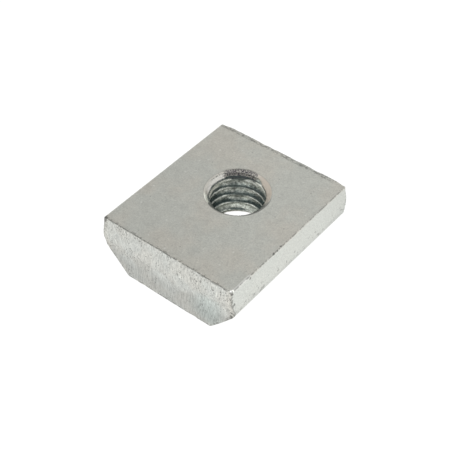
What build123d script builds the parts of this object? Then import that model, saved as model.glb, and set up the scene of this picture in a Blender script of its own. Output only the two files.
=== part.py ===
from build123d import *
from build123d.topology import SkipClean
import os
from math import ceil, radians, tan

# A t-nut for a slotted profile: a cropped length of chamfered steel bar with an off-centre tapped hole.
# Millimetres. The middle of the underside is the origin. X runs across the slot, Y along it, and Z up
# out of the wide face, which is drawn against the slot's lips. The hole is nearer the +Y end.

# Bar, seen along the slot
bar_width = 19.0
bar_thickness = 7.9
side_height = 4.5
chamfer_width = 3.2
top_edge_radius = 0.2
shoulder_radius = 1.3
foot_radius = 0.5

# Cropped ends, which are flat below and swell out above the chamfers
nut_length = 22.7
end_swell = 0.35
swell_start = 3.3

# Tapped hole, with a right-hand coarse thread that is countersunk at both faces
hole_shift = 2.0
thread_diameter = 8.0
thread_pitch = 1.25
thread_start_angle = 100.0
flank_half_angle = 30.0
bore_allowance = 0.15
top_sink_diameter = 8.1
bottom_sink_diameter = 10.0
sink_angle = 90.0

# The thread's form follows from its pitch: its basic crests are a quarter of it wide, and its roots an
# eighth. The bore is drilled a little wider than the basic crests, which leaves them wider and flat.
flank_slope = tan(radians(flank_half_angle))
root_width = thread_pitch / 8
basic_crest_width = thread_pitch / 4
basic_depth = (thread_pitch - basic_crest_width - root_width) / 2 / flank_slope
root_radius = thread_diameter / 2
bore_radius = root_radius - basic_depth + bore_allowance / 2
crest_width = thread_pitch - root_width - 2 * (root_radius - bore_radius) * flank_slope

bore_quarters = 4
half_width = bar_width / 2
half_foot = half_width - chamfer_width
chamfer_height = bar_thickness - side_height
half_length = nut_length / 2
half_edge_length = half_length - end_swell


def groove_turn():
    """One turn of the thread's groove round Z, starting on +X with its middle at z = 0."""
    cutter_inset = crest_width / 2
    cutter_radius = bore_radius - cutter_inset
    half_root = root_width / 2
    half_mouth = half_root + (root_radius - cutter_radius) * flank_slope
    outline = [
        (cutter_radius, -half_mouth),
        (root_radius, -half_root),
        (root_radius, half_root),
        (cutter_radius, half_mouth),
    ]
    rails = [Helix(thread_pitch, thread_pitch, radius, center=(0, 0, z)) for radius, z in outline]
    pairs = zip(rails, rails[1:] + rails[:1])
    flanks = [Face.make_surface_from_curves(Edge(a.wrapped), Edge(b.wrapped)) for a, b in pairs]
    ends = [Face(Wire.make_polygon([rail @ end for rail in rails])) for end in (0, 1)]
    return Solid(Shell(flanks + ends))


with BuildPart() as t_nut:
    # the bar: a foot, soft shoulders above its chamfers, and crisp upper edges
    corners = [
        (half_foot, 0, foot_radius),
        (half_width, chamfer_height, shoulder_radius),
        (half_width, bar_thickness, top_edge_radius),
    ]
    corners += [(-x, z, radius) for x, z, radius in reversed(corners)]
    with BuildSketch(Plane.XZ):
        with BuildLine():
            FilletPolyline(
                *[(x, z) for x, z, radius in corners],
                radius=[radius for x, z, radius in corners],
                close=True,
            )
        make_face()
    extrude(amount=half_length, both=True)

    # the cropped ends, each with the whole swell halfway up its swollen part and half of it at the quarters
    swell_height = bar_thickness - swell_start
    swell_points = [
        (half_edge_length + share * end_swell, swell_start + quarter * swell_height / 4)
        for quarter, share in enumerate((0, 0.5, 1, 0.5, 0))
    ]
    with BuildSketch(Plane.YZ):
        with BuildLine():
            Line((0, 0), (half_edge_length, 0))
            Line((half_edge_length, 0), (half_edge_length, swell_start))
            Spline(*swell_points, tangents=[(0, 1), (0, 1)])
            Line((half_edge_length, bar_thickness), (0, bar_thickness))
            mirror(about=Plane.YZ)
        make_face()
    extrude(amount=half_width, both=True, mode=Mode.INTERSECT)

    # the bore, whose wall stays in quarters, so that each stretch of the thread's crest is a face of its own
    with SkipClean():
        with Locations((0, hole_shift, 0)):
            with PolarLocations(radius=0, count=bore_quarters):
                Cylinder(
                    bore_radius,
                    bar_thickness,
                    arc_size=360 / bore_quarters,
                    align=(Align.NONE, Align.NONE, Align.MIN),
                    mode=Mode.SUBTRACT,
                )

        # the thread runs out past both faces
        turn_count = ceil(bar_thickness / thread_pitch) + 2
        turn_starts = [(0, hole_shift, thread_pitch * (turn - 1)) for turn in range(turn_count)]
        with Locations(*turn_starts):
            add(groove_turn(), rotation=(0, 0, thread_start_angle), mode=Mode.SUBTRACT)

        # the countersinks cut away the ends of the thread
        sink_slope = tan(radians(sink_angle / 2))
        for sink_radius, face_height, downward in (
            (top_sink_diameter / 2, bar_thickness, 0),
            (bottom_sink_diameter / 2, 0, 180),
        ):
            with Locations(Location((0, hole_shift, face_height), (downward, 0, 0))):
                Cone(
                    0,
                    sink_radius,
                    sink_radius / sink_slope,
                    align=(Align.CENTER, Align.CENTER, Align.MAX),
                    mode=Mode.SUBTRACT,
                )

t_nut.part.label = "t_nut"
os.makedirs("parts", exist_ok=True)
export_step(t_nut.part, "parts/t_nut.step")
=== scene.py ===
import math

import bmesh
import bpy
import numpy as np
from mathutils import Matrix, Vector, noise


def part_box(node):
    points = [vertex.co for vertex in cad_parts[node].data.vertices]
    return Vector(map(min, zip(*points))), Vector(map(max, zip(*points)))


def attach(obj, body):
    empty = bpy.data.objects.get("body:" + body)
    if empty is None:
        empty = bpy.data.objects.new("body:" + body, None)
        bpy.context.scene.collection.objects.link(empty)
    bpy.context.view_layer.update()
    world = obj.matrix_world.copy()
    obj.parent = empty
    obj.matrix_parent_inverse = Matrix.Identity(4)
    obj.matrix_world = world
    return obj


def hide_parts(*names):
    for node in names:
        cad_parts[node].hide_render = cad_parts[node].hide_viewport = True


# A zinc-plated t-nut on a white table: a cropped length of chamfered bar with a tapped, countersunk hole.
# The bar is one closed mesh of grids. The threaded wall comes from Geometry Nodes and is sewn into it.

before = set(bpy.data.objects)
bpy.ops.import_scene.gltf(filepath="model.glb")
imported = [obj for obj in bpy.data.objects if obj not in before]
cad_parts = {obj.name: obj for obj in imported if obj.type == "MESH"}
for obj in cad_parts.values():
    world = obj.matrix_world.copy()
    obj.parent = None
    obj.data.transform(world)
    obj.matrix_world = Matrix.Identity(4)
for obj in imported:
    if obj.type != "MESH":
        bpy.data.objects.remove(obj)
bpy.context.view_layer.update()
lowCorner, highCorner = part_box("t_nut")
mm = 0.001
print("frame loaded, the nut is", [round(side / mm, 2) for side in highCorner - lowCorner], "mm")


# Node maths: a wire is a node's output that takes part in Python sums

class Wire:
    def __init__(self, tree, socket=None):
        self.tree, self.socket = tree, socket

    def add(self, kind, settings=None, values=None, output=0):
        node = self.tree.nodes.new(kind)
        for name, value in (settings or {}).items():
            setattr(node, name, value)
        for key, value in (values or {}).items():
            if isinstance(value, Wire):
                self.tree.links.new(value.socket, node.inputs[key])
            else:
                node.inputs[key].default_value = value
        return Wire(self.tree, node.outputs[output] if len(node.outputs) else None)

    def out(self, name):
        return Wire(self.tree, self.socket.node.outputs[name])

    def maths(self, operation, *values):
        return self.add("ShaderNodeMath", {"operation": operation}, dict(enumerate(values)))

    def __add__(self, other):
        return self.maths("ADD", self, other)

    def __sub__(self, other):
        return self.maths("SUBTRACT", self, other)

    def __rsub__(self, other):
        return self.maths("SUBTRACT", other, self)

    def __mul__(self, other):
        return self.maths("MULTIPLY", self, other)

    def __truediv__(self, other):
        return self.maths("DIVIDE", self, other)

    def __abs__(self):
        return self.maths("ABSOLUTE", self)

    __radd__ = __add__
    __rmul__ = __mul__

    def fade(self, start, end):  # 0 at start and 1 at end, eased
        settings = {"interpolation_type": "SMOOTHSTEP"}
        return self.add("ShaderNodeMapRange", settings, {"Value": self, "From Min": start, "From Max": end})

    def blend(self, first, second):  # a colour, by this wire's share of the second
        return self.add("ShaderNodeMix", {"data_type": "RGBA"}, {0: self, 6: first, 7: second}, output=2)


# The bar

bar = {
    "halfWidth": highCorner.x,
    "thickness": highCorner.z,
    "halfLength": highCorner.y,
    "endSwell": 0.35 * mm,
    "swellStart": 3.3 * mm,
    "chamferWidth": 3.2 * mm,
    "chamferHeight": 3.4 * mm,
    "topRound": 0.2 * mm,
    "shoulderRound": 1.3 * mm,
    "footRound": 0.5 * mm,
    "patchReach": 5.6 * mm,      # half of the square round the hole
    "patchCells": 56,
    "endCells": (36, 1.1),       # how many cells, and how much each grows away from its edge
    "shortEndCells": (22, 1.13),
    "topCells": (25, 1.1),
    "sideCells": (20, 1.12),
    "ringCells": (14, 1.25),
    "chamferCells": 16,
    "footCells": 2,
    "topRoundCells": 6,
    "shoulderRoundCells": 10,
    "footRoundCells": 5,
    "weld": 0.002 * mm,          # points this near each other become one
}
hole = {
    "shift": 2.0 * mm,
    "rootRadius": 4.0 * mm,
    "crestRadius": 3.3984 * mm,
    "pitch": 1.25 * mm,
    "rootShare": 1 / 8,          # of the pitch
    "flankAngle": math.radians(30),
    "startAngle": math.radians(100),
    "topSink": 4.05 * mm,
    "bottomSink": 5.0 * mm,
    "rows": 160,
    "crestSoftness": 0.09 * mm,
    "tear": 0.10 * mm,
    "chatter": 0.05 * mm,
    "burr": 0.09 * mm,
    "runOut": 0.6 * mm,
    "sinkDepth": 0.65 * mm,
    "cutMiddle": math.radians(113),      # the last turn cuts the upper sink only over this stretch
    "cutHalf": math.radians(39),
}
chamferLean = math.atan2(bar["chamferWidth"], bar["chamferHeight"])
patchAngles = np.linspace(-math.pi / 4, math.pi / 4, bar["patchCells"] + 1)
patchLines = bar["patchReach"] * np.tan(patchAngles)
drawn, cropped, tapped = 0, 1, 2      # the finishes' numbers


def stations(cells):  # shares from 0 to 1 with the smallest cells at 0
    count, growth = cells
    return (growth ** np.arange(count + 1) - 1) / (growth**count - 1)


def stretch(start, end, shares):
    return np.array(start) + np.outer(shares, np.array(end) - np.array(start))


def progress(values):  # how far each value is on the way from the first to the last
    return (values - values[0]) / (values[-1] - values[0])


def arc(centre, radius, fromAngle, toAngle, cells):
    angles = np.linspace(fromAngle, toAngle, cells + 1)
    return np.stack([centre[0] + radius * np.cos(angles), centre[1] + radius * np.sin(angles)], 1)


def chain(*runs):  # runs that meet end to start, as one
    return np.vstack([runs[0]] + [run[1:] for run in runs[1:]])


def halves(run):  # two runs that meet at its middle point
    middle = len(run) // 2
    return run[: middle + 1], run[middle:]


def halfSection():
    # the right half's outline as three runs of x, z: along the top, down the side, and along the underside
    width, top, reach = bar["halfWidth"], bar["thickness"], bar["patchReach"]
    edge, shoulder, foot = bar["topRound"], bar["shoulderRound"], bar["footRound"]
    footTurn = math.pi / 2 - chamferLean
    topArc = arc((width - edge, top - edge), edge, math.pi / 2, 0, bar["topRoundCells"])
    shoulderCentre = (width - shoulder, bar["chamferHeight"] + shoulder * math.tan(chamferLean / 2))
    shoulderArc = arc(shoulderCentre, shoulder, 0, -chamferLean, bar["shoulderRoundCells"])
    footCentre = (width - bar["chamferWidth"] - foot * math.tan(footTurn / 2), foot)
    footArc = arc(footCentre, foot, -chamferLean, -math.pi / 2, bar["footRoundCells"])
    topFlat = stretch(topArc[0], (reach, top), stations(bar["topCells"]))[::-1]
    sideFlat = stretch(topArc[-1], shoulderArc[0], stations(bar["sideCells"]))
    chamfer = stretch(shoulderArc[-1], footArc[0], np.linspace(0, 1, bar["chamferCells"] + 1))
    footFlat = stretch(footArc[-1], (reach, 0), np.linspace(0, 1, bar["footCells"] + 1))
    topIn, topOut = halves(topArc)
    shoulderUp, shoulderDown = halves(shoulderArc)
    return (
        chain(topFlat, topIn),
        chain(topOut, sideFlat, shoulderUp),
        chain(shoulderDown, chamfer, footArc, footFlat),
    )


def endReach(z):  # how far along the bar a cropped end stands at a height
    share = np.clip((z - bar["swellStart"]) / (bar["thickness"] - bar["swellStart"]), 0, 1)
    return bar["halfLength"] - bar["endSwell"] * (1 + np.cos(2 * math.pi * share)) / 2


def lengthways(section):  # grids along the bar, with a row for each point of the section
    x, z = section[:, :1], section[:, 1:]
    nearEdge, farEdge = hole["shift"] - bar["patchReach"], hole["shift"] + bar["patchReach"]
    near = -endReach(z) + (nearEdge + endReach(z)) * stations(bar["endCells"])
    far = (endReach(z) - (endReach(z) - farEdge) * stations(bar["shortEndCells"]))[:, ::-1]
    middle = hole["shift"] + patchLines[1:-1] + 0 * z
    parts = {"near": near, "far": far, "all": np.hstack([near, middle, far])}
    return {name: np.stack([x + 0 * y, y, z + 0 * y], 2) for name, y in parts.items()}


def longPatches(topRun, sideRun, bottomRun):
    flank = chain(topRun, sideRun, bottomRun)
    grids = [lengthways(flank * (hand, 1))["all"] for hand in (1, -1)]
    for height in (0, bar["thickness"]):
        strip = lengthways(np.stack([patchLines, height + 0 * patchLines], 1))
        grids += [strip["near"], strip["far"]]
    return [(grid, drawn) for grid in grids]


def ringPatches():
    # a square ring round the hole in each wide face, on lines that run out from the hole's axis
    quarters = [patchAngles[:-1] + quarter * math.pi / 2 for quarter in range(4)]
    turn = np.concatenate(quarters + [patchAngles[:1]])
    squareDistance = bar["patchReach"] / np.maximum(abs(np.cos(turn)), abs(np.sin(turn)))
    rings = []
    for height, rim in ((bar["thickness"], hole["topSink"]), (0, hole["bottomSink"])):
        radii = rim + np.outer(stations(bar["ringCells"]), squareDistance - rim)
        ring = [radii * np.cos(turn), hole["shift"] + radii * np.sin(turn), height + 0 * radii]
        rings.append((np.stack(ring, 2), drawn))
    return rings


def endPatches(topRun, sideRun, bottomRun):
    # a grid filled in between the four edges of the section, where u runs across and v down
    mirrored = (-1, 1)
    across = patchLines[1:-1]
    top = np.vstack([topRun[::-1] * mirrored, np.stack([across, bar["thickness"] + 0 * across], 1), topRun])
    bottom = np.vstack([bottomRun * mirrored, np.stack([across, 0 * across], 1), bottomRun[::-1]])
    left, right = sideRun * mirrored, sideRun
    u = ((progress(top[:, :1]) + progress(bottom[:, :1])) / 2)[:, None]
    v = progress(right[:, 1:])[None]
    corners = (1 - u) * ((1 - v) * top[0] + v * bottom[0]) + u * ((1 - v) * top[-1] + v * bottom[-1])
    section = (1 - v) * top[:, None] + v * bottom[:, None]
    section = section + (1 - u) * left[None] + u * right[None] - corners
    x, z = section[..., 0], section[..., 1]
    return [(np.stack([x, hand * endReach(z), z], 2), cropped) for hand in (1, -1)]


def buildBar():
    runs = halfSection()
    points, quads, finish = [], [], []
    for grid, number in longPatches(*runs) + ringPatches() + endPatches(*runs):
        start = len(points)
        rows, columns = grid.shape[:2]
        points.extend(grid.reshape(-1, 3).tolist())
        for row in range(rows - 1):
            for column in range(columns - 1):
                first = start + row * columns + column
                quads.append((first, first + 1, first + columns + 1, first + columns))
                finish.append(number)
    mesh = bpy.data.meshes.new("bar")
    mesh.from_pydata(points, [], quads)
    mesh.polygons.foreach_set("material_index", finish)
    return mesh


# The threaded wall, by Geometry Nodes

wall = {
    "seamTurn": 1 / 8,           # of a turn before +X, where the grid's two sides meet
    "noiseRadius": 3.6,          # millimetres: the round wall that the noises are read on
    "noiseDetail": 2.0,
    "wave": (0.9, 3.0),          # noises: marks to the millimetre and seed
    "dent": (2.6, 11.0),
    "grit": (6.0, 29.0),
    "waveTear": 2,               # how many times the tear the turns wave along the axis
    "crestTear": 0.3,            # and how much of it dents the crests
    "cutSoftness": 0.12,         # of the cosine, at the ends of the stretch that the last turn cuts
    "clear": 100 * mm,           # so far out that it limits nothing
    "heldRim": 0.15 * mm,        # the sinks move less and less in it, and not at all at the rims
    "burrReach": 0.12 * mm,
    "weld": 0.001 * mm,
}


def threadTree(names):
    tree = bpy.data.node_groups.new("tappedHole", "GeometryNodeTree")
    tree.interface.new_socket(name="Geometry", in_out="OUTPUT", socket_type="NodeSocketGeometry")
    kinds = {"columns": "Int", "rows": "Int", "finish": "Material"}
    for name in names:
        kind = "NodeSocket" + kinds.get(name, "Float")
        tree.interface.new_socket(name=name, in_out="INPUT", socket_type=kind)
    given = Wire(tree).add("NodeGroupInput")
    size = {name: given.out(name) for name in names}

    # a flat unit grid, whose x becomes the angle and whose y the height
    values = {"Vertices X": size["columns"] + 1, "Vertices Y": size["rows"] + 1}
    grid = given.add("GeometryNodeMeshGrid", None, values)
    flat = given.add("ShaderNodeSeparateXYZ", None, {0: given.add("GeometryNodeInputPosition")})
    angle = (flat.out("X") + (0.5 - wall["seamTurn"])) * (2 * math.pi)
    height = (flat.out("Y") + 0.5) * size["height"]

    # torn and wavy turns: noise on the round wall moves them along the axis and in and out
    cosine, sine = angle.maths("COSINE", angle), angle.maths("SINE", angle)
    around = {0: cosine * wall["noiseRadius"], 1: sine * wall["noiseRadius"], 2: height * (1 / mm)}
    place = given.add("ShaderNodeCombineXYZ", None, around)

    def ripple(scale, seed):
        values = {"Vector": place, "W": seed, "Scale": scale, "Detail": wall["noiseDetail"]}
        return given.add("ShaderNodeTexNoise", {"noise_dimensions": "4D"}, values) - 0.5

    wave, dent, grit = ripple(*wall["wave"]), ripple(*wall["dent"]), ripple(*wall["grit"])
    swayed = height + wave * size["tear"] * wall["waveTear"]
    turns = swayed / size["pitch"] - (angle - size["startAngle"]) / (2 * math.pi)
    off = abs(turns - turns.maths("ROUND", turns)) * size["pitch"]
    slant = turns.maths("MAXIMUM", off - size["pitch"] * size["rootShare"] / 2, 0.0)
    slant = slant / size["flankAngle"].maths("TANGENT", size["flankAngle"])
    groove = size["rootRadius"] - slant - abs(dent) * size["tear"]
    crest = size["crestRadius"] + dent * size["tear"] * wall["crestTear"]

    # the last turn cuts the upper sink over one stretch only, and stays under it elsewhere
    upper = size["topSink"] - (size["height"] - height)
    towards = angle - size["cutMiddle"]
    edge = size["cutHalf"].maths("COSINE", size["cutHalf"])
    cut = towards.maths("COSINE", towards).fade(edge - wall["cutSoftness"], edge + wall["cutSoftness"])
    under = size["height"] - height - (1 - cut) * (size["sinkDepth"] - size["runOut"] / 2)
    opened = under.fade(size["runOut"] / 2, size["runOut"])
    groove = groove.maths("MINIMUM", groove, upper - size["chatter"] + opened * wall["clear"])
    threaded = groove.maths("SMOOTH_MAX", groove, crest, size["crestSoftness"])

    # the sinks chatter, and push up a burr where they meet the thread
    sink = upper.maths("MAXIMUM", upper, size["bottomSink"] - height)
    fromRim = height.maths("MINIMUM", size["height"] - height, height)
    loose = fromRim.fade(0.0, wall["heldRim"])
    sink = sink - (grit + 0.5) * size["chatter"] * loose
    lip = abs(threaded - sink).fade(wall["burrReach"], 0.0) * (grit + 0.5)
    radius = threaded.maths("MAXIMUM", threaded, sink) - lip * size["burr"] * loose

    spot = {0: cosine * radius, 1: sine * radius + size["shift"], 2: height}
    values = {"Geometry": grid, "Position": given.add("ShaderNodeCombineXYZ", None, spot)}
    shaped = given.add("GeometryNodeSetPosition", None, values)
    sewn = given.add("GeometryNodeMergeByDistance", None, {"Geometry": shaped, "Distance": wall["weld"]})
    smooth = given.add("GeometryNodeSetShadeSmooth", None, {"Geometry": sewn})
    real = given.add("GeometryNodeRealizeInstances", None, {"Geometry": smooth})
    made = given.add("GeometryNodeSetMaterial", None, {"Geometry": real, "Material": size["finish"]})
    given.add("NodeGroupOutput", None, {"Geometry": made})
    return tree


def buildThread(finish):
    values = {**hole, "height": bar["thickness"], "columns": 4 * bar["patchCells"], "finish": finish}
    holder = bpy.data.objects.new("tappedHole", bpy.data.meshes.new("tappedHole"))
    bpy.context.collection.objects.link(holder)
    modifier = holder.modifiers.new("tappedHole", "NODES")
    modifier.node_group = threadTree(list(values))
    for item in modifier.node_group.interface.items_tree:
        if item.in_out == "INPUT":
            modifier[item.identifier] = values[item.name]
    evaluated = holder.evaluated_get(bpy.context.evaluated_depsgraph_get())
    mesh = bpy.data.meshes.new_from_object(evaluated)
    bpy.data.objects.remove(holder)
    return mesh


# Wear: softened and bruised edges, and ends that shearing left uneven

wear = {
    "edgeRound": 0.04 * mm,      # everywhere along the cropped edges
    "nickRound": 0.12 * mm,      # more than that, where they are bruised
    "nickGain": 1.3,
    "cornerRound": 0.35 * mm,    # and more again towards the corners
    "cornerReach": 2.0 * mm,
    "cornerDrop": 0.5,           # how much a distance down the end counts in that reach
    "leftCorner": 0.2,           # the share that the near end's -X corner gets
    "endWave": 0.03 * mm,
    "endStretch": (1, 1, 0.35),  # longer along the shearing direction
    "faceWave": 0.004 * mm,
    "waveReach": 0.6 * mm,       # from a cropped edge: the end's waves fade out in it, the faces' fade in
    "holeReach": 1.0 * mm,       # the faces' waves fade out in it towards the hole
    "lean": 0.55 * mm,           # how far the shear left the near end's +X side short
    "leanReach": 4.0 * mm,
    "leanLow": 0.6 * mm,
    "chip": 0.4 * mm,            # off the tip of the near end's +X corner
    "chipGrain": 0.08 * mm,
    "rimGap": 0.01 * mm,         # what lies nearer than this to the hole's rims isn't worn
    "edgeBlend": 0.1 * mm,
    "nickNoise": (1.1 * mm, 5.0, 3),      # noises: size, seed and octaves
    "endNoise": (1.3 * mm, 17.0, 3),
    "faceNoise": (2.6 * mm, 31.0, 2),
    "chipNoise": (0.3 * mm, 43.0, 3),
}


def ripples(points, size, seed, octaves):
    shift = Vector((seed, seed * 0.37, -seed * 0.71))
    return np.array([noise.fractal(Vector(p) / size + shift, 1.0, 2.0, octaves) for p in points])


def easeTo(value, start, end):
    share = np.clip((value - start) / (end - start), 0, 1)
    return share * share * (3 - 2 * share)


def longFaces(points):
    # how deep points lie under the nearest long face, and the way out of it, blended round the edges
    x, z = points[:, 0], points[:, 2]
    cosine, sine = math.cos(chamferLean), math.sin(chamferLean)
    slant = (bar["halfWidth"] - abs(x)) * cosine - (bar["chamferHeight"] - z) * sine
    depths = np.stack([bar["thickness"] - z, z, bar["halfWidth"] - abs(x), slant], 1)
    hand, none = np.sign(x), 0 * x
    ways = [
        (none, none, none + 1),
        (none, none, none - 1),
        (hand, none, none),
        (hand * cosine, none, none - sine),
    ]
    shares = np.exp((depths.min(1)[:, None] - depths) / wear["edgeBlend"])
    out = sum(shares[:, [side]] * np.stack(way, 1) for side, way in enumerate(ways))
    return depths.min(1), out / np.linalg.norm(out, axis=1)[:, None]


def cropRadius(points):  # what the cropped edges are rounded to
    x, y, z = points.T
    upperCorner = np.hypot(bar["halfWidth"] - abs(x), (bar["thickness"] - z) * wear["cornerDrop"])
    share = np.where((x < 0) & (y < 0), wear["leftCorner"], 1)
    corner = easeTo(upperCorner, wear["cornerReach"], 0) * share
    bruise = np.clip(ripples(points, *wear["nickNoise"]) * wear["nickGain"], 0, 1)
    return wear["edgeRound"] + wear["nickRound"] * bruise + wear["cornerRound"] * corner


def leanEnd(points, x, y, z, underEnd):  # the near end falls away towards +X
    rise = np.clip((z - wear["leanLow"]) / (bar["thickness"] - wear["leanLow"]), 0, 1)
    short = easeTo(x, 0, bar["halfWidth"]) * (1 - np.cos(2 * math.pi * rise)) / 2
    points[:, 1] += wear["lean"] * short * np.clip(1 - underEnd / wear["leanReach"], 0, 1) * (y < 0)


def chipCorner(points):  # a blow took the tip off the near end's upper +X corner
    outwards = np.array([1, -1, 1]) / math.sqrt(3)
    tip = np.array([bar["halfWidth"], -endReach(bar["thickness"]), bar["thickness"]])
    over = (points - tip) @ outwards + wear["chip"]
    struck = over > -wear["chipGrain"]
    over[struck] += wear["chipGrain"] * ripples(points[struck], *wear["chipNoise"])
    points -= np.outer(np.where(struck, np.clip(over, 0, None), 0), outwards)


def wearMesh(mesh):
    points = np.zeros(len(mesh.vertices) * 3)
    mesh.vertices.foreach_get("co", points)
    points = points.reshape(-1, 3)
    x, y, z = points.T.copy()
    fromAxis = np.hypot(x, y - hole["shift"])
    rim = np.where(z > bar["thickness"] / 2, hole["topSink"], hole["bottomSink"])
    onBar = fromAxis > rim + wear["rimGap"]
    underLong, longWay = longFaces(points)
    underEnd = endReach(z) - abs(y)
    endWay = np.outer(np.sign(y), [0, 1.0, 0])
    fromCrop = np.maximum(underLong, underEnd)

    # each cropped edge is turned on a radius that changes along it
    radius = cropRadius(points)
    inside = onBar & (fromCrop < radius)
    turn = math.pi / 4 * (1 - np.clip(fromCrop / radius, 0, 1))
    across, down = fromCrop - radius * (1 - np.sin(turn)), -radius * (1 - np.cos(turn))
    onLong = (underEnd > underLong)[:, None]
    first, second = np.where(onLong, endWay, longWay), np.where(onLong, longWay, endWay)
    points[inside] += (first * across[:, None] + second * down[:, None])[inside]

    # shallow waves: along the shearing direction on the ends, faint on the drawn faces
    endShare = easeTo(underEnd, wear["waveReach"], 0) * onBar
    wave = np.clip(0.5 + 0.5 * ripples(points * wear["endStretch"], *wear["endNoise"]), 0, 1)
    points -= endWay * (wear["endWave"] * wave * endShare)[:, None]
    faceShare = easeTo(underEnd, 0, wear["waveReach"]) * onBar
    faceShare = faceShare * easeTo(fromAxis, hole["topSink"], hole["topSink"] + wear["holeReach"])
    swell = np.clip(0.5 + 0.5 * ripples(points, *wear["faceNoise"]), 0, 1)
    points -= longWay * (wear["faceWave"] * swell * faceShare)[:, None]

    leanEnd(points, x, y, z, underEnd)
    chipCorner(points)
    points = np.clip(points, np.array(lowCorner), np.array(highCorner))
    mesh.vertices.foreach_set("co", points.ravel())
    layer = mesh.attributes.new("fromCrop", "FLOAT", "POINT")
    layer.data.foreach_set("value", (fromCrop / mm).astype(np.float32))


def buildNut():
    finishes = [drawnFinish(), croppedFinish(), tappedFinish()]
    sewing = bmesh.new()
    sewing.from_mesh(buildBar())
    start = len(sewing.faces)
    sewing.from_mesh(buildThread(finishes[tapped]))
    sewing.faces.ensure_lookup_table()
    for face in sewing.faces[start:]:
        face.material_index = tapped
    bmesh.ops.remove_doubles(sewing, verts=sewing.verts, dist=bar["weld"])
    bmesh.ops.recalc_face_normals(sewing, faces=sewing.faces)
    for face in sewing.faces:
        face.smooth = True
    openEdges = sum(not edge.is_manifold for edge in sewing.edges)
    mesh = bpy.data.meshes.new("nut")
    sewing.to_mesh(mesh)
    sewing.free()
    for material in finishes:
        mesh.materials.append(material)
    wearMesh(mesh)
    mesh.update()
    nut = bpy.data.objects.new("nut", mesh)
    bpy.context.collection.objects.link(nut)
    triangles = sum(len(face.vertices) - 2 for face in mesh.polygons)
    print("nut:", triangles, "triangles,", openEdges, "open edges")
    return nut


# Finishes, in millimetres. In their dictionaries a noise is its scale, seed, detail, roughness and stretch,
# pits are their scale, seed and size, and a pair is where a mark starts and where it is whole. A span is two
# angles round the hole from +X, and the softness of its ends, in degrees.

def newFinish(name):
    material = bpy.data.materials.new(name)
    material.use_nodes = True
    material.node_tree.nodes.clear()
    sheet = Wire(material.node_tree)
    coordinates = sheet.add("ShaderNodeTexCoord").out("Object")
    place = sheet.add("ShaderNodeVectorMath", {"operation": "SCALE"}, {0: coordinates, "Scale": 1 / mm})
    return material, sheet, place


def finishSurface(sheet, colour, roughness, relief, depth):
    bump = sheet.add("ShaderNodeBump", None, {"Height": relief, "Distance": depth, "Strength": 1.0})
    values = {"Base Color": colour, "Roughness": roughness, "Metallic": 1.0, "Normal": bump}
    skin = sheet.add("ShaderNodeBsdfPrincipled", None, values)
    sheet.add("ShaderNodeOutputMaterial", None, {"Surface": skin})


def splitPlace(place, axes="XYZ"):
    split = place.add("ShaderNodeSeparateXYZ", None, {0: place})
    return [split.out(axis) for axis in axes]


def distanceTo(place, point):
    return place.add("ShaderNodeVectorMath", {"operation": "DISTANCE"}, {0: place, 1: point}, output=1)


def speckle(place, scale, seed, detail, rough=0.5, stretch=(1, 1, 1)):
    moved = {"Vector": place, "Location": (seed, seed * 0.61, -seed * 0.37), "Scale": stretch}
    held = place.add("ShaderNodeMapping", None, moved)
    values = {"Vector": held, "Scale": scale, "Detail": detail, "Roughness": rough}
    return place.add("ShaderNodeTexNoise", None, values)


def pits(place, scale, seed, size):
    moved = {"Vector": place, "Location": (seed, -seed, seed * 0.5)}
    held = place.add("ShaderNodeMapping", None, moved)
    cell = place.add("ShaderNodeTexVoronoi", {"feature": "F1"}, {"Vector": held, "Scale": scale})
    pick = cell.add("ShaderNodeSeparateColor", None, {0: cell.out("Color")}).out("Red")
    return cell.out("Distance").fade(size, size * zinc["pitCore"]) * pick.fade(*zinc["pitPick"])


def shadeBy(colour, light):  # the colour times a brightness
    grey = light.add("ShaderNodeCombineColor", None, {0: light, 1: light, 2: light})
    settings = {"data_type": "RGBA", "blend_type": "MULTIPLY"}
    return light.add("ShaderNodeMix", settings, {0: 1.0, 6: colour, 7: grey}, output=2)


def strongest(first, *others):
    for other in others:
        first = first.maths("MAXIMUM", first, other)
    return first


def varied(marks, least, most, cut):  # a strength that changes with a noise
    return least + marks.fade(*cut) * (most - least)


def roundHole(across, along):
    # distance from the hole's axis, and the share of its rim within a span
    fromAxis = across.maths("SQRT", across * across + along * along)

    def within(span, wander=0.0):
        start, end, soft = span
        middle, half = math.radians((start + end) / 2), (end - start) / 2
        turned = (across * math.cos(middle) + along * math.sin(middle)) / fromAxis
        inner, outer = math.cos(math.radians(half - soft)), math.cos(math.radians(half + soft))
        return (turned + wander).fade(outer, inner)

    return fromAxis, within


# The zinc on the drawn and the cropped faces

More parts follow.
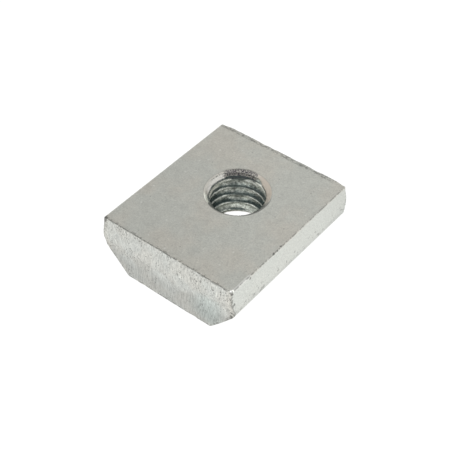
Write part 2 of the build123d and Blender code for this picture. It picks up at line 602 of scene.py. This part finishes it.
zinc = {
    "plain": (0.70, 0.70, 0.655, 1),
    "pale": (0.685, 0.70, 0.665, 1),
    "warm": (0.708, 0.692, 0.627, 1),
    "cool": (0.686, 0.695, 0.642, 1),
    "side": (0.680, 0.70, 0.66, 1),
    "teal": (0.60, 0.65, 0.62, 1),
    "dark": (0.13, 0.13, 0.12, 1),
    "bright": (0.95, 0.96, 0.92, 1),
    "glint": (1, 1, 1, 1),
    "raggedNoise": (3.0, 21.0, 4.0, 0.7),
    "blotNoise": (1.9, 47.0, 3.0, 0.65),
    "edgeMarks": 0.8,        # how far marks along an edge go towards the dark
    "pitCore": 0.4,
    "pitPick": (0.72, 0.80),
}
spotsAndGlint = {      # x, y, z and reach in millimetres: dark spots, and one corner's painted glint
    "darkSpots": [
        (9.4, -10.92, 7.52, 0.22),
        (9.5, -10.6, 5.65, 0.22),
        (9.1, -10.5, 3.9, 0.24),
        (9.05, -10.5, 3.3, 0.24),
        (9.5, -7.75, 7.55, 0.2),
        (9.4, -2.0, 7.9, 0.18),
        (9.45, -2.7, 7.85, 0.16),
        (9.45, -3.4, 7.85, 0.18),
        (-9.45, -10.9, 7.6, 0.55),
    ],
    "glint": (9.2, -10.8, 7.8, 0.14),
    "dark": 0.75,
    "noise": (4.0, 61.0, 2.0),
    "wander": 1.5,
    "edge": (1.1, 0.6),
}
drawnMarks = {
    "onSide": (0.1, 0.25),       # under the upper edge and over the underside
    "sideTint": 0.8,
    "tintNoise": (0.17, 4.0, 3.0),
    "tintCut": (0.40, 0.64),
    "cloudNoise": (0.9, 15.0, 3.0),
    "cloud": 0.05,
    "sideCloud": 0.5,            # the share of the clouds that shows on the long sides
    "grainNoise": (6.0, 9.0, 3.0, 0.8),
    "grain": 0.19,               # how much lighter and darker the finest grain gets
    "coarseNoise": (4.2, 71.0, 2.0),
    "sideGrain": 0.10,           # and more on the long sides
    "lean": 0.07,                # painted shade: how much darker the wide faces get towards -X and -Y
    "leanWay": (0.6, 0.4),
    "leanReach": (6, -6),
    "shoulderShade": 0.07,       # painted shade: how much darker the long sides get over their shoulders
    "shoulderReach": (4.6, 3.9),
    "farShade": 0.06,            # and towards the far end
    "farReach": (5, 12),
    "darkPits": (1.1, 2.0, 0.12),
    "darkPit": 0.45,
    # small pale specks: painted glints on fine scratches
    "glintPits": (1.4, 12.0, 0.24),
    "glintPit": 0.35,
    # a painted highlight along the upper edge beside the near corner
    "paintedShineAcross": (9.16, 9.26),
    "paintedShineAlong": (-7.3, -8.0),
    "paintedShine": 0.6,
    "onTop": (7.0, 7.5),
    # painted shade along the upper rim
    "rimReach": (0.16, 0.02),    # out from the upper countersink's rim
    "rim": 0.2,
    "rimSpan": (318, 378, 12),   # where the rim is darkest
    "farRimSpan": (100, 148, 10),
    "rimWander": 0.6,
    "spanRim": 0.6,
    # the countersink's painted dark reflection, spilling over the far rim
    "spillReach": (0.4, 0.0),
    "spillCut": (0.46, 0.56),
    "spill": 0.8,
    "nickNoise": (4.5, 33.0, 2.0, 0.5, (1, 0.25, 1)),
    "scuffNoise": (4.6, 57.0, 4.0, 0.75, (0.6, 1, 1)),
    "cropLine": ((0.14, 0.02), (0.36, 0.52), 1.0),      # marks: reach from their edge, cut and strength
    "nick": ((0.45, 0.05), (0.53, 0.60), 0.7),
    "scuff": ((0.72, 0.45), (0.46, 0.55), 0.8),
    "scuffGap": (0.12, 0.26),
    "scuffAlong": (9, 10),
    "scuffAcross": (9.5, 6),
    "longLine": ((0.17, 0.09), (0.44, 0.54), 0.65),
    "bruise": ((0.36, 0.12), (0.54, 0.62), 0.9),
    "stain": ((5.5, 4.8), (0.58, 0.64), 0.5),
    "stainFoot": (2.2, 3.6),
    "roughness": 0.42,
    "grainRoughness": 0.12,
    "relief": 0.006 * mm,
    "pitRelief": 2.0,
}
croppedMarks = {
    "tone": 0.9,
    "patchNoise": (0.35, 13.0, 2.0),
    "patchCut": (0.4, 0.65),
    "streakNoise": (7.0, 6.0, 3.0, 0.7, (1, 1, 0.12)),
    "streak": 0.30,
    "grainNoise": (9.0, 19.0, 3.0, 0.8, (1, 1, 0.4)),
    "grain": 0.20,
    "stain": (5.8, -11.0, 2.7),
    "stainReach": 2.8,
    "stainEdge": (1.0, 0.4),
    "teal": 0.8,
    "warm": 0.5,
    "warmReach": (8.2, 9.3),
    "footShade": 0.22,           # painted shade: how much darker the lower half is
    "footReach": (4.6, 2.4),
    "footWander": 3.0,
    # painted light: how much lighter the ends get towards +X
    "rightLift": 0.08,
    "rightReach": (4, 9),
    "crowdNoise": (0.8, 41.0, 2.0, 0.5, (1, 1, 0.5)),
    "crowdPull": 0.01,           # how much each millimetre out and up adds
    "crowdCut": (0.56, 0.68),
    "speckNoise": (6.0, 27.0, 2.0, 0.6, (1, 1, 0.7)),
    "speckCut": (0.66, 0.71),
    "crowdSpecks": 0.1,
    "pits": (2.6, 7.0, 0.28),
    "speck": 0.6,
    "topLine": ((0.16, 0.02), (0.36, 0.52), 1.0),       # marks, as on the drawn faces
    "sideLine": ((0.2, 0.03), (0.50, 0.60), 0.8),
    "sideLineGap": (0.3, 0.2),
    "bruise": ((0.36, 0.12), (0.54, 0.62), 0.8),
    "roughness": 0.46,
    "streakRoughness": 0.14,
    "relief": 0.008 * mm,
    "streakRelief": 1.5,
    "speckRelief": 1.5,
}


def edgeMark(fromEdge, marks, look):
    reach, cut, strength = look
    return fromEdge.fade(*reach) * marks.fade(*cut) * strength


def edgeNoises(place):  # distance from the cropped edges, and the noises of the marks along them
    fromCrop = place.add("ShaderNodeAttribute", {"attribute_name": "fromCrop"}).out("Fac")
    return fromCrop, speckle(place, *zinc["raggedNoise"]), speckle(place, *zinc["blotNoise"])


def spottedAndGlinted(place, colour):
    ragged = speckle(place, *spotsAndGlint["noise"])

    def spot(x, y, z, reach):
        away = distanceTo(place, (x, y, z)) / reach
        return (away + (ragged - 0.5) * spotsAndGlint["wander"]).fade(*spotsAndGlint["edge"])

    for dent in spotsAndGlint["darkSpots"]:
        colour = (spot(*dent) * spotsAndGlint["dark"]).blend(colour, zinc["dark"])
    # a painted glint on the near corner
    return spot(*spotsAndGlint["glint"]).blend(colour, zinc["glint"])


def drawnColour(place, grain, onSide):
    x, y, z = splitPlace(place)
    tint = speckle(place, *drawnMarks["tintNoise"])
    cloud = speckle(place, *drawnMarks["cloudNoise"])
    coarse = speckle(place, *drawnMarks["coarseNoise"])
    colour = tint.fade(*drawnMarks["tintCut"]).blend(zinc["cool"], zinc["warm"])
    colour = (onSide * drawnMarks["sideTint"]).blend(colour, zinc["side"])
    grained = (grain - 0.5) * (4 * drawnMarks["grain"])
    grained = grained + (coarse - 0.5) * onSide * (4 * drawnMarks["sideGrain"])
    clouded = (cloud - 0.5) * (1 - onSide * drawnMarks["sideCloud"]) * (4 * drawnMarks["cloud"])
    # painted shade: the wide faces darken towards -X and -Y, the long sides over their shoulders and towards
    # the far end
    leanX, leanY = drawnMarks["leanWay"]
    lean = (x * leanX + y * leanY).fade(*drawnMarks["leanReach"]) * (1 - onSide) * drawnMarks["lean"]
    low = z.fade(*drawnMarks["shoulderReach"]) * drawnMarks["shoulderShade"]
    far = y.fade(*drawnMarks["farReach"]) * drawnMarks["farShade"]
    return shadeBy(colour, (1 + grained + clouded) * (1 - lean) * (1 - onSide * (low + far)))


def darkRim(place, grain, colour):
    # painted shade darkens the upper rim over two stretches, and over the far one the countersink's speckled
    # painted dark reflection spills onto it
    x, y, z = splitPlace(place)
    fromAxis, within = roundHole(x, y - hole["shift"] / mm)
    fromRim = fromAxis - hole["topSink"] / mm
    onTop = z.fade(*drawnMarks["onTop"])
    rim = fromRim.fade(*drawnMarks["rimReach"]) * onTop
    ragged = within(drawnMarks["farRimSpan"], (grain - 0.5) * drawnMarks["rimWander"])
    strong = (within(drawnMarks["rimSpan"]) + ragged) * drawnMarks["spanRim"]
    colour = (rim * (drawnMarks["rim"] + strong)).blend(colour, zinc["dark"])
    spill = fromRim.fade(*drawnMarks["spillReach"]) * onTop * within(drawnMarks["farRimSpan"])
    spill = spill * grain.fade(*drawnMarks["spillCut"]) * drawnMarks["spill"]
    return spill.blend(colour, zinc["dark"])


def drawnEdges(place, onSide):
    x, y, z = splitPlace(place)
    underTop, underSide = bar["thickness"] / mm - z, bar["halfWidth"] / mm - abs(x)
    fromCrop, ragged, blots = edgeNoises(place)
    # painted shade of the burr that cropping leaves: a dark ragged line, with nicks drawn inwards over the
    # edge
    line = edgeMark(fromCrop, ragged, drawnMarks["cropLine"])
    nick = edgeMark(fromCrop, speckle(place, *drawnMarks["nickNoise"]), drawnMarks["nick"])
    # the far edge is scuffed in a band just inside it
    scuff = edgeMark(fromCrop, speckle(place, *drawnMarks["scuffNoise"]), drawnMarks["scuff"])
    scuff = scuff * fromCrop.fade(*drawnMarks["scuffGap"]) * (1 - onSide)
    scuff = scuff * y.fade(*drawnMarks["scuffAlong"]) * x.fade(*drawnMarks["scuffAcross"])
    # a finer line follows the long upper edges
    fine = edgeMark(strongest(underSide, underTop), ragged, drawnMarks["longLine"])
    # bruises sit on the corners' upright edges, and stains along the side's lower edge
    bruise = edgeMark(fromCrop, blots, drawnMarks["bruise"]) * onSide
    stain = edgeMark(z, blots, drawnMarks["stain"]) * z.fade(*drawnMarks["stainFoot"]) * onSide
    return strongest(line, nick, scuff, fine, bruise, stain)


def drawnFinish():
    material, sheet, place = newFinish("drawnZinc")
    x, y, z = splitPlace(place)
    onSide = (bar["thickness"] / mm - z).fade(*drawnMarks["onSide"]) * z.fade(*drawnMarks["onSide"])
    grain = speckle(place, *drawnMarks["grainNoise"])
    dark, pale = pits(place, *drawnMarks["darkPits"]), pits(place, *drawnMarks["glintPits"])
    colour = drawnColour(place, grain, onSide)
    colour = (dark * drawnMarks["darkPit"]).blend(colour, zinc["dark"])
    # painted glints: small pale specks on the wide faces
    colour = (pale * (1 - onSide) * drawnMarks["glintPit"]).blend(colour, zinc["bright"])
    colour = darkRim(place, grain, colour)
    # a painted highlight runs along the upper edge beside the near corner
    paintedShine = x.fade(*drawnMarks["paintedShineAcross"]) * y.fade(*drawnMarks["paintedShineAlong"]) * (1 - onSide)
    colour = (paintedShine * drawnMarks["paintedShine"]).blend(colour, zinc["bright"])
    colour = (drawnEdges(place, onSide) * zinc["edgeMarks"]).blend(colour, zinc["dark"])
    roughness = drawnMarks["roughness"] + grain * drawnMarks["grainRoughness"]
    relief = grain - dark * drawnMarks["pitRelief"]
    finishSurface(sheet, spottedAndGlinted(place, colour), roughness, relief, drawnMarks["relief"])
    return material


def croppedColour(place, x, z, streak, grain):
    patch = speckle(place, *croppedMarks["patchNoise"])
    colour = patch.fade(*croppedMarks["patchCut"]).blend(zinc["plain"], zinc["pale"])
    away = distanceTo(place, croppedMarks["stain"]) / croppedMarks["stainReach"]
    stain = (away + patch - 0.5).fade(*croppedMarks["stainEdge"])
    colour = (stain * croppedMarks["teal"]).blend(colour, zinc["teal"])
    colour = (abs(x).fade(*croppedMarks["warmReach"]) * croppedMarks["warm"]).blend(colour, zinc["warm"])
    light = 1 + (streak - 0.5) * (4 * croppedMarks["streak"]) + (grain - 0.5) * (4 * croppedMarks["grain"])
    # painted shade over the lower half, and painted light towards +X
    low = (z + (patch - 0.5) * croppedMarks["footWander"]).fade(*croppedMarks["footReach"])
    light = light * (1 - low * croppedMarks["footShade"]) * croppedMarks["tone"]
    return shadeBy(colour, light * (1 + x.fade(*croppedMarks["rightReach"]) * croppedMarks["rightLift"]))


def croppedSpecks(place, x, z):  # they gather towards the corners, where the shear tore
    crowd = speckle(place, *croppedMarks["crowdNoise"]) + (abs(x) + z) * croppedMarks["crowdPull"]
    crowd = crowd.fade(*croppedMarks["crowdCut"]) * croppedMarks["crowdSpecks"]
    specks = (speckle(place, *croppedMarks["speckNoise"]) + crowd).fade(*croppedMarks["speckCut"])
    return strongest(specks, pits(place, *croppedMarks["pits"]))


def croppedEdges(place, z):
    underTop = bar["thickness"] / mm - z
    fromCrop, ragged, blots = edgeNoises(place)
    # painted shade of the burr, as a dark ragged line along the upper and side edges, and bruises
    line = edgeMark(underTop, ragged, croppedMarks["topLine"])
    side = edgeMark(fromCrop, ragged, croppedMarks["sideLine"])
    side = side * (1 - underTop.fade(*croppedMarks["sideLineGap"]))
    return strongest(line, side, edgeMark(fromCrop, blots, croppedMarks["bruise"]))


def croppedFinish():
    material, sheet, place = newFinish("croppedZinc")
    x, z = splitPlace(place, "XZ")
    streak = speckle(place, *croppedMarks["streakNoise"])
    grain = speckle(place, *croppedMarks["grainNoise"])
    specks = croppedSpecks(place, x, z)
    colour = croppedColour(place, x, z, streak, grain)
    colour = (specks * croppedMarks["speck"]).blend(colour, zinc["dark"])
    colour = (croppedEdges(place, z) * zinc["edgeMarks"]).blend(colour, zinc["dark"])
    roughness = croppedMarks["roughness"] + streak * croppedMarks["streakRoughness"]
    relief = streak * croppedMarks["streakRelief"] + grain - specks * croppedMarks["speckRelief"]
    finishSurface(sheet, spottedAndGlinted(place, colour), roughness, relief, croppedMarks["relief"])
    return material


# The tapped hole, whose colours hold much painted light, shade and reflection. Heights are from the
# underside, and reaches are out from the thread's crests.

thread = {
    # painted light on the band, and painted shade in the grooves
    "light": (0.90, 0.93, 0.85, 1),
    "dark": (0.065, 0.088, 0.085, 1),
    "islandNoise": (1.7, 3.0, 3.0, 0.65, (1, 1, 1.5)),
    "mottleNoise": (2.6, 23.0, 3.0, 0.7),
    "fleckNoise": (7.0, 51.0, 3.0, 0.75),
    "bandSide": 126.8,           # degrees round the hole from +X; there and opposite, the light lies lowest
    "bandLow": 0.04,             # of a turn above the groove's middle
    "bandRise": 0.08,
    "bandClimb": 0.2,
    "bandWaves": 0.4,
    "aside": (0.0, 0.07),        # how far round from the band's side, as 1 less the cosine
    "wide": (0.12, 0.35),
    "deep": (6.5, 2.0),
    "crown": (6.3, 6.9),         # the topmost turn climbs more
    "crownRise": 0.15,
    "bandCut": (-0.85, 0.4),     # of the band's cosine
    "asideWidth": 0.30,          # how much wider the band is at the sides
    "deepWidth": 0.25,
    "crownWidth": 0.3,
    "crownWide": (6.4, 6.8),
    "bandLight": 0.45,           # how light it is on its side, and how much more deep down
    "deepLight": 0.15,
    "asideLight": 0.92,          # and at the sides, and how much less where wide and deep
    "wideShade": 0.66,
    "footSpan": (66, 110, 10),   # painted light: the lowest turn stays light, more so here
    "footTop": (3.4, 2.6),
    "footEnd": (1.95, 2.25),
    "footDrop": 0.35,
    "footLight": 0.6,
    "spanLight": 0.2,
    "footDim": (3.1, 2.5),
    "footShade": 0.43,
    "glow": 0.05,                # the least light on the band's side
    "plain": 0.80,
    "islandCut": (0.42, 0.58),
    "island": 0.40,
    "fleck": 2.6,
    "roughness": 0.36,
    "mottleRoughness": 0.2,
    "relief": 0.03 * mm,
    "gritRelief": 3.0,
}
sinkMarks = {
    "plain": (0.66, 0.64, 0.58, 1),
    "tan": (0.66, 0.60, 0.52, 1),
    "glare": (0.82, 0.81, 0.76, 1),
    # painted light, for the strip and the wedge
    "strip": (0.92, 0.93, 0.84, 1),
    # a painted dark reflection, speckled where the tool chattered
    "grit": (0.08, 0.075, 0.09, 1),
    "cone": (0.06, 0.02),        # millimetres from the countersink's cone
    "above": (3.8, 4.2),
    "gritReflectionSpan": (96, 152, 7),
    "gritReflectionWander": 0.5,
    "gritReflectionFoot": (7.02, 7.15),
    "gritReflectionFlecks": (0.2, 1.0, (0.55, 0.47)),      # flecks: the least and most strength, and the cut
    "inner": (0.50, 0.28),
    "glareSpan": (154, 208, 6),
    "glareWander": 0.1,
    "outerGlare": 0.25,
    "tanSpan": (20, 84, 12),
    # a painted light wedge
    "wedgeSpan": (222, 244, 6),
    "stripSpan": (160, 224, 8),
    "stripTop": (7.14, 7.06),
    "stripFoot": (6.78, 6.86),
    "stripDrop": 0.62,
    "stripFlecks": (0.6, 0.95, (0.40, 0.50)),
    "edgeTop": (7.40, 7.34),
    "edgeFoot": (7.08, 7.14),
    "edgeReach": (0.25, 0.17),
    "edgeFlecks": (0.55, 1.0, (0.46, 0.54)),
    "shadeSpan": (218, 280, 6),
    "shadeReach": (0.30, 0.22),
    "fullShadeSpan": (248, 290, 10),     # the shade reaches further out here
    "fullShade": 0.5,
    "nearShadeSpan": (285, 370, 9),
    "outerShade": 0.75,
    "shadeFoot": (7.0, 7.2),
    "shadeFlecks": (0.55, 0.85, (0.46, 0.54)),
    "ringSpan": (146, 186, 6),
    "ringRadius": 3.84,          # millimetres
    "ringWidth": (0.07, 0.03),
    "ringFoot": (7.4, 7.5),
    "ringFlecks": (0.0, 0.8, (0.47, 0.55)),
}


def threadColour(place, z, turns, lean, atFoot, mottle, flecks):
    # painted light and shade: a light band winds round with the turns, on the lower flanks here and up on
    # the crests at the sides, and the rest is painted shade
    aside, wide, deep = lean.fade(*thread["aside"]), lean.fade(*thread["wide"]), z.fade(*thread["deep"])
    climb = aside * (z.fade(*thread["crown"]) * thread["crownRise"] + thread["bandRise"])
    climb = climb + lean * thread["bandClimb"] + thread["bandLow"]
    swing = (turns - climb + (mottle - 0.5) * thread["bandWaves"]) * (2 * math.pi)
    crown = z.fade(*thread["crownWide"]) * thread["crownWidth"]
    width = aside * (thread["asideWidth"] - deep * thread["deepWidth"] + crown)
    low = z.fade(*thread["footTop"]) * (z + atFoot * thread["footDrop"]).fade(*thread["footEnd"])
    low = low * (thread["footLight"] + atFoot * thread["spanLight"])
    level = (deep * thread["deepLight"] + thread["bandLight"]) * (1 - aside)
    level = level + aside * (thread["asideLight"] - wide * deep * thread["wideShade"])
    share = (swing.maths("COSINE", swing) + low + width).fade(*thread["bandCut"]) * level
    most = 1 - z.fade(*thread["footDim"]) * thread["footShade"]
    share = share.maths("MINIMUM", share, most) + (1 - aside) * thread["glow"]
    islands = speckle(place, *thread["islandNoise"]).fade(*thread["islandCut"])
    light = thread["plain"] + islands * thread["island"] + (flecks - 0.5) * thread["fleck"]
    return shadeBy(share.blend(thread["dark"], thread["light"]), light)


def sinkColour(within, grit, above, inner, mottle, flecks):
    # smooth over tan, painted glare and painted light stretches, and a painted dark reflection, speckled
    # where the tool chattered
    glare = within(sinkMarks["glareSpan"], (mottle - 0.5) * sinkMarks["glareWander"])
    glare = glare * (sinkMarks["outerGlare"] + inner * (1 - sinkMarks["outerGlare"]))
    colour = (glare * above).blend(sinkMarks["plain"], sinkMarks["glare"])
    colour = (within(sinkMarks["tanSpan"]) * above).blend(colour, sinkMarks["tan"])
    colour = (within(sinkMarks["wedgeSpan"]) * above).blend(colour, sinkMarks["strip"])
    return (grit * varied(flecks, *sinkMarks["gritReflectionFlecks"])).blend(colour, sinkMarks["grit"])


def sinkEdges(z, fromCrest, within, inner, flecks, colour):
    # a dark edge where the countersink meets the thread, and a shade over its near side
    edge = z.fade(*sinkMarks["edgeTop"]) * z.fade(*sinkMarks["edgeFoot"])
    edge = edge * fromCrest.fade(*sinkMarks["edgeReach"]) * varied(flecks, *sinkMarks["edgeFlecks"])
    colour = edge.blend(colour, thread["dark"])
    inwards = fromCrest - within(sinkMarks["fullShadeSpan"]) * sinkMarks["fullShade"]
    shade = within(sinkMarks["shadeSpan"]) * inwards.fade(*sinkMarks["shadeReach"])
    outer = sinkMarks["outerShade"] + inner * (1 - sinkMarks["outerShade"])
    shade = strongest(shade, within(sinkMarks["nearShadeSpan"]) * outer) * z.fade(*sinkMarks["shadeFoot"])
    return (shade * varied(flecks, *sinkMarks["shadeFlecks"])).blend(colour, thread["dark"])


def tappedFinish():
    material, sheet, place = newFinish("tappedSteel")
    across, along, z = splitPlace(place)
    along = along - hole["shift"] / mm
    fromAxis, within = roundHole(across, along)
    fromCrest = fromAxis - hole["crestRadius"] / mm
    mottle, flecks = speckle(place, *thread["mottleNoise"]), speckle(place, *thread["fleckNoise"])
    angle = along.maths("ARCTAN2", along, across) - hole["startAngle"]
    turns = z / (hole["pitch"] / mm) - angle / (2 * math.pi)
    towards = math.radians(thread["bandSide"])
    lean = 1 - abs(across * math.cos(towards) + along * math.sin(towards)) / fromAxis
    colour = threadColour(place, z, turns, lean, within(thread["footSpan"]), mottle, flecks)

    # both countersinks, and the painted dark reflection round the upper one, speckled where the tool
    # chattered
    fromUpper = fromAxis - z + (bar["thickness"] - hole["topSink"]) / mm
    fromLower = fromAxis + z - hole["bottomSink"] / mm
    above, inner = z.fade(*sinkMarks["above"]), fromCrest.fade(*sinkMarks["inner"])
    grit = within(sinkMarks["gritReflectionSpan"], (mottle - 0.5) * sinkMarks["gritReflectionWander"]) * above
    onSink = fromUpper.maths("MINIMUM", fromUpper, fromLower).fade(*sinkMarks["cone"])
    onSink = strongest(onSink, z.fade(*sinkMarks["gritReflectionFoot"]) * grit)
    colour = onSink.blend(colour, sinkColour(within, grit, above, inner, mottle, flecks))

    # a painted light strip runs on from the painted band under the upper one, and a thin dark ring lies on
    # that
    lower = z + within(sinkMarks["stripSpan"]) * sinkMarks["stripDrop"]
    strip = z.fade(*sinkMarks["stripTop"]) * lower.fade(*sinkMarks["stripFoot"])
    strip = strip * (1 - grit) * lean.fade(*thread["aside"]) * varied(flecks, *sinkMarks["stripFlecks"])
    colour = sinkEdges(z, fromCrest, within, inner, flecks, strip.blend(colour, sinkMarks["strip"]))
    ring = abs(fromAxis - sinkMarks["ringRadius"]).fade(*sinkMarks["ringWidth"])
    ring = ring * within(sinkMarks["ringSpan"]) * z.fade(*sinkMarks["ringFoot"])
    colour = (ring * varied(flecks, *sinkMarks["ringFlecks"])).blend(colour, thread["dark"])
    roughness = thread["roughness"] + mottle * thread["mottleRoughness"]
    relief = mottle + flecks + grit * onSink * flecks * thread["gritRelief"]
    finishSurface(sheet, colour, roughness, relief, thread["relief"])
    return material


# Table, light and camera

studio = {
    "horizon": (1.0, 1.0, 1.0, 1),
    "overhead": (0.50, 0.50, 0.50, 1),
    "skyFade": (0.3, 0.75),
    "tableSize": 3.0,
    "tableDrop": 0.02 * mm,
    "tableShare": 0.85,      # how much of the table's white is its own, the rest takes the shadow
    "tableGlow": 1.12,
    "tableWhite": (1, 1, 1, 1),
    "tableColour": (0.9, 0.9, 0.9, 1),
}
keyLamp = {
    "azimuth": math.radians(30),
    "elevation": math.radians(58),
    "distance": 300 * mm,
    "size": 160 * mm,
    "power": 0.3,
}
view = {
    "azimuth": math.radians(38.775),
    "elevation": math.radians(44.585),
    "distance": 128.2 * mm,
    "lens": 85.34,
    "sensor": 36,
    "nearest": 1 * mm,
    "right": -0.239 * mm,      # of the middle of the nut's box
    "up": 0.004 * mm,
}


def outTowards(azimuth, elevation):
    level = math.cos(elevation)
    return Vector((math.sin(azimuth) * level, -math.cos(azimuth) * level, math.sin(elevation)))


def buildWorld():
    world = bpy.data.worlds.new("studio")
    world.use_nodes = True
    world.node_tree.nodes.clear()
    sheet = Wire(world.node_tree)
    direction = sheet.add("ShaderNodeTexCoord").out("Generated")
    height = sheet.add("ShaderNodeSeparateXYZ", None, {0: direction}).out("Z")
    colour = height.fade(*studio["skyFade"]).blend(studio["horizon"], studio["overhead"])
    glow = sheet.add("ShaderNodeBackground", None, {"Color": colour, "Strength": 1.0})
    sheet.add("ShaderNodeOutputWorld", None, {"Surface": glow})
    bpy.context.scene.world = world


def buildLamp(name, azimuth, elevation, distance, size, power):
    data = bpy.data.lights.new(name, "AREA")
    data.shape, data.size, data.energy = "DISK", size, power
    lamp = bpy.data.objects.new(name, data)
    back = outTowards(azimuth, elevation)
    lamp.rotation_euler = back.to_track_quat("Z", "Y").to_euler()
    lamp.location = back * distance
    bpy.context.collection.objects.link(lamp)


def buildTable():
    half = studio["tableSize"] / 2
    corners = [(-half, -half), (half, -half), (half, half), (-half, half)]
    mesh = bpy.data.meshes.new("table")
    mesh.from_pydata([(x, y, -studio["tableDrop"]) for x, y in corners], [], [(0, 1, 2, 3)])
    material = bpy.data.materials.new("tableWhite")
    material.use_nodes = True
    material.node_tree.nodes.clear()
    sheet = Wire(material.node_tree)
    rays = sheet.add("ShaderNodeLightPath")
    seen = rays.out("Is Camera Ray") + rays.out("Is Glossy Ray") + rays.out("Is Transmission Ray")
    matt = sheet.add("ShaderNodeBsdfDiffuse", None, {"Color": studio["tableColour"]})
    values = {"Color": studio["tableWhite"], "Strength": studio["tableGlow"]}
    white = sheet.add("ShaderNodeEmission", None, values)
    share = seen.maths("MINIMUM", seen, 1.0) * studio["tableShare"]
    top = sheet.add("ShaderNodeMixShader", None, {0: share, 1: matt, 2: white})
    clear = sheet.add("ShaderNodeBsdfTransparent")
    facing = sheet.add("ShaderNodeNewGeometry").out("Backfacing")
    both = sheet.add("ShaderNodeMixShader", None, {0: facing, 1: top, 2: clear})
    sheet.add("ShaderNodeOutputMaterial", None, {"Surface": both})
    mesh.materials.append(material)
    table = bpy.data.objects.new("table", mesh)
    bpy.context.collection.objects.link(table)


def buildCamera():
    azimuth = view["azimuth"]
    back = outTowards(azimuth, view["elevation"])
    right = Vector((math.cos(azimuth), math.sin(azimuth), 0))
    up = back.cross(right)
    target = Vector((0, 0, bar["thickness"] / 2)) + right * view["right"] + up * view["up"]
    data = bpy.data.cameras.new("camera")
    data.sensor_width, data.lens, data.clip_start = view["sensor"], view["lens"], view["nearest"]
    camera = bpy.data.objects.new("camera", data)
    bpy.context.collection.objects.link(camera)
    place = Matrix((right, up, back)).transposed().to_4x4()
    place.translation = target + back * view["distance"]
    camera.matrix_world = place
    bpy.context.scene.camera = camera


nut = buildNut()
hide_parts("t_nut")
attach(nut, "root")
buildWorld()
buildLamp("keyLamp", **keyLamp)
buildTable()
buildCamera()
bpy.context.scene.view_settings.view_transform = "Standard"
print("studio ready")
